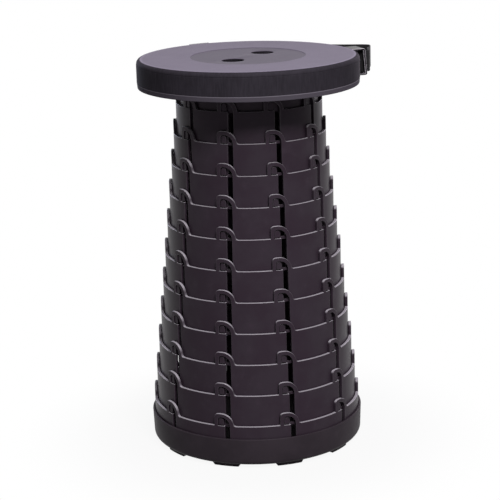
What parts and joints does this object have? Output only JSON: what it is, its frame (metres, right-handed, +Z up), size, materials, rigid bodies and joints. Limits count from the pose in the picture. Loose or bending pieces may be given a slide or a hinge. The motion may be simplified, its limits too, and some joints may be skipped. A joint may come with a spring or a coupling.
{
  "type": "collapsible telescopic stool",
  "caption": "Round seat on a tapering stack of nested plastic rings that drop into a shallow tray, with hooked catches, finger holes and a carrying strap on the skirt.",
  "frame": {"origin": "on the floor at the middle of the tray's centre foot", "axes": "+Z up along the stack's axis, +X to the right and +Y to the back as the picture shows it; the strap's loops are at the right and at the rear"},
  "size_m": [0.2685, 0.2606, 0.445],
  "materials": {
    "seat_shell": "fine-grained moulded plastic",
    "ring_shell": "satin moulded plastic",
    "webbing": "woven webbing",
    "screw_steel": "zinc-plated screw"
  },
  "bodies": {
    "base": {"base_tray": "ring_shell", "ring_11": "ring_shell"},
    "stage_10": {"ring_10": "ring_shell"},
    "stage_9": {"ring_9": "ring_shell"},
    "stage_8": {"ring_8": "ring_shell"},
    "stage_7": {"ring_7": "ring_shell"},
    "stage_6": {"ring_6": "ring_shell"},
    "stage_5": {"ring_5": "ring_shell"},
    "stage_4": {"ring_4": "ring_shell"},
    "stage_3": {"ring_3": "ring_shell"},
    "stage_2": {"ring_2": "ring_shell"},
    "stage_1": {"ring_1": "ring_shell"},
    "seat": {"seat_lid": "seat_shell", "seat_collar": "ring_shell", "carry_strap": "webbing", "seat_screw_1": "screw_steel", "seat_screw_2": "screw_steel", "seat_screw_3": "screw_steel", "seat_screw_4": "screw_steel", "seat_screw_5": "screw_steel"}
  },
  "joints": [
    {"name": "stage_10_slide", "type": "slide", "parent": "base", "child": "stage_10", "axis": [0, 0, 1], "range_m": [-0.03473, 0]},
    {"name": "stage_9_slide", "type": "slide", "parent": "stage_10", "child": "stage_9", "axis": [0, 0, 1], "range_m": [-0.03473, 0]},
    {"name": "stage_8_slide", "type": "slide", "parent": "stage_9", "child": "stage_8", "axis": [0, 0, 1], "range_m": [-0.03473, 0]},
    {"name": "stage_7_slide", "type": "slide", "parent": "stage_8", "child": "stage_7", "axis": [0, 0, 1], "range_m": [-0.03473, 0]},
    {"name": "stage_6_slide", "type": "slide", "parent": "stage_7", "child": "stage_6", "axis": [0, 0, 1], "range_m": [-0.03473, 0]},
    {"name": "stage_5_slide", "type": "slide", "parent": "stage_6", "child": "stage_5", "axis": [0, 0, 1], "range_m": [-0.03473, 0]},
    {"name": "stage_4_slide", "type": "slide", "parent": "stage_5", "child": "stage_4", "axis": [0, 0, 1], "range_m": [-0.03473, 0]},
    {"name": "stage_3_slide", "type": "slide", "parent": "stage_4", "child": "stage_3", "axis": [0, 0, 1], "range_m": [-0.03473, 0]},
    {"name": "stage_2_slide", "type": "slide", "parent": "stage_3", "child": "stage_2", "axis": [0, 0, 1], "range_m": [-0.03473, 0]},
    {"name": "stage_1_slide", "type": "slide", "parent": "stage_2", "child": "stage_1", "axis": [0, 0, 1], "range_m": [-0.03473, 0]},
    {"name": "seat_slide", "type": "slide", "parent": "stage_1", "child": "seat", "axis": [0, 0, 1], "range_m": [-0.0298, 0]}
  ]
}
